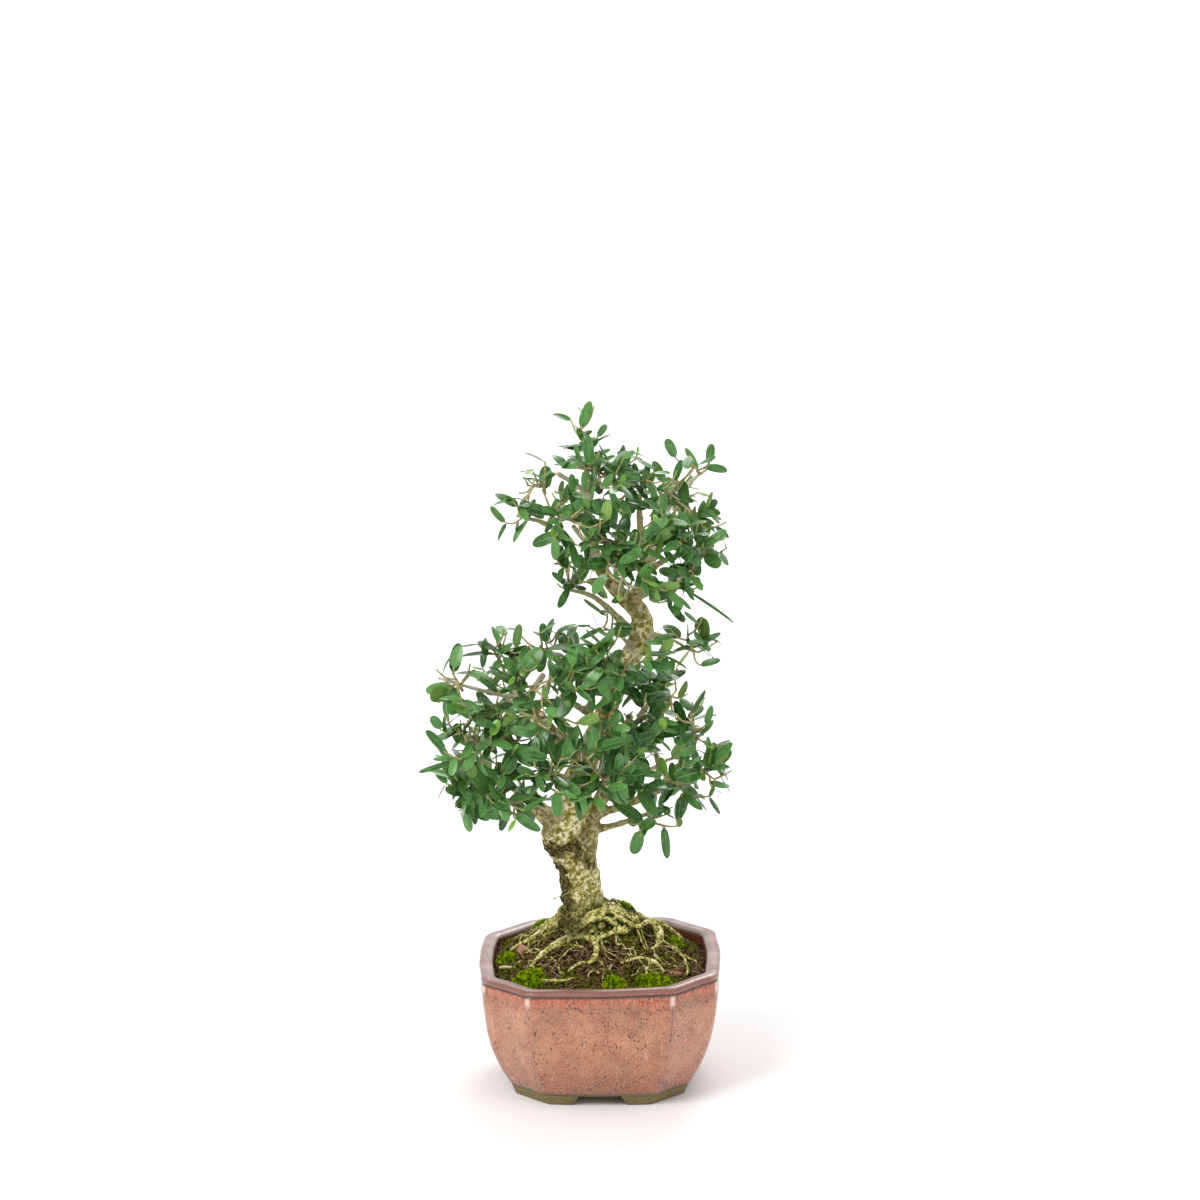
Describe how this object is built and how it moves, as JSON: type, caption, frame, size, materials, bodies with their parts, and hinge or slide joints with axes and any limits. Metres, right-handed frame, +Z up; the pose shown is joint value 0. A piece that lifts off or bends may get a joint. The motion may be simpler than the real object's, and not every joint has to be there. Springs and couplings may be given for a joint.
{
  "type": "olive bonsai",
  "caption": "Small-leaved olive bonsai with a leaning double-tiered crown and surface roots, in a glazed square pot with cut corners and four feet.",
  "frame": {"origin": "on the surface the pot stands on, under the middle of the whole outline, crown included", "axes": "+Z up the tree, +X to the right seen from the front, +Y towards the back"},
  "size_m": [0.192, 0.1544, 0.43],
  "materials": {
    "glazed_stoneware": "mottled salmon glaze, bare brown clay on the feet",
    "screen_plastic": "moulded mesh",
    "clip_wire": "drawn wire, dull",
    "potting_soil": "dark crumbly soil with fibres",
    "olive_wood": "living bark, rough below and smooth above",
    "olive_leaf": "leathery, satin",
    "moss": "fine cushion moss",
    "litter": "dry"
  },
  "bodies": {
    "root": {"pot": "glazed_stoneware", "drain_screen": "screen_plastic", "screen_clip": "clip_wire", "soil": "potting_soil", "wood": "olive_wood", "moss_front_left": "moss", "moss_left": "moss", "moss_back_left": "moss", "moss_front_right": "moss", "moss_front_middle": "moss", "moss_right": "moss", "moss_mound": "moss", "dead_leaf": "litter", "bark_chip": "litter", "litter_twig": "litter", "shoot_far_left": "olive_leaf", "shoot_left_crest": "olive_leaf", "shoot_top_left": "olive_leaf", "shoot_top_centre": "olive_leaf", "shoot_left_knuckle": "olive_leaf", "shoot_ringed_stub": "olive_leaf", "shoot_left_outer": "olive_leaf", "shoot_left_thin": "olive_leaf", "shoot_left_low_front": "olive_leaf", "shoot_left_low": "olive_leaf", "shoot_centre_low": "olive_leaf", "shoot_centre_front": "olive_leaf", "shoot_centre_middle": "olive_leaf", "shoot_right_inner": "olive_leaf", "shoot_right_crest": "olive_leaf", "shoot_right_riser": "olive_leaf", "shoot_right_high": "olive_leaf", "shoot_right_middle": "olive_leaf", "shoot_right_under": "olive_leaf", "shoot_right_low": "olive_leaf", "shoot_centre_twig": "olive_leaf", "shoot_centre_right": "olive_leaf", "shoot_centre_left": "olive_leaf", "shoot_back_left": "olive_leaf", "shoot_back_right": "olive_leaf", "shoot_back_middle": "olive_leaf", "shoot_back_low_left": "olive_leaf", "shoot_back_low_right": "olive_leaf", "shoot_neck_right": "olive_leaf", "shoot_neck_left": "olive_leaf", "shoot_apex": "olive_leaf", "shoot_crest": "olive_leaf", "shoot_left_riser": "olive_leaf", "shoot_upper_left": "olive_leaf", "shoot_upper_left_front": "olive_leaf", "shoot_right_stem": "olive_leaf", "shoot_right_reach": "olive_leaf", "shoot_right_reach_front": "olive_leaf", "shoot_right_arm": "olive_leaf", "shoot_right_droop": "olive_leaf", "shoot_upper_front": "olive_leaf", "shoot_upper_left_twig": "olive_leaf", "shoot_upper_back": "olive_leaf", "shoot_upper_back_right": "olive_leaf"}
  },
  "joints": []
}
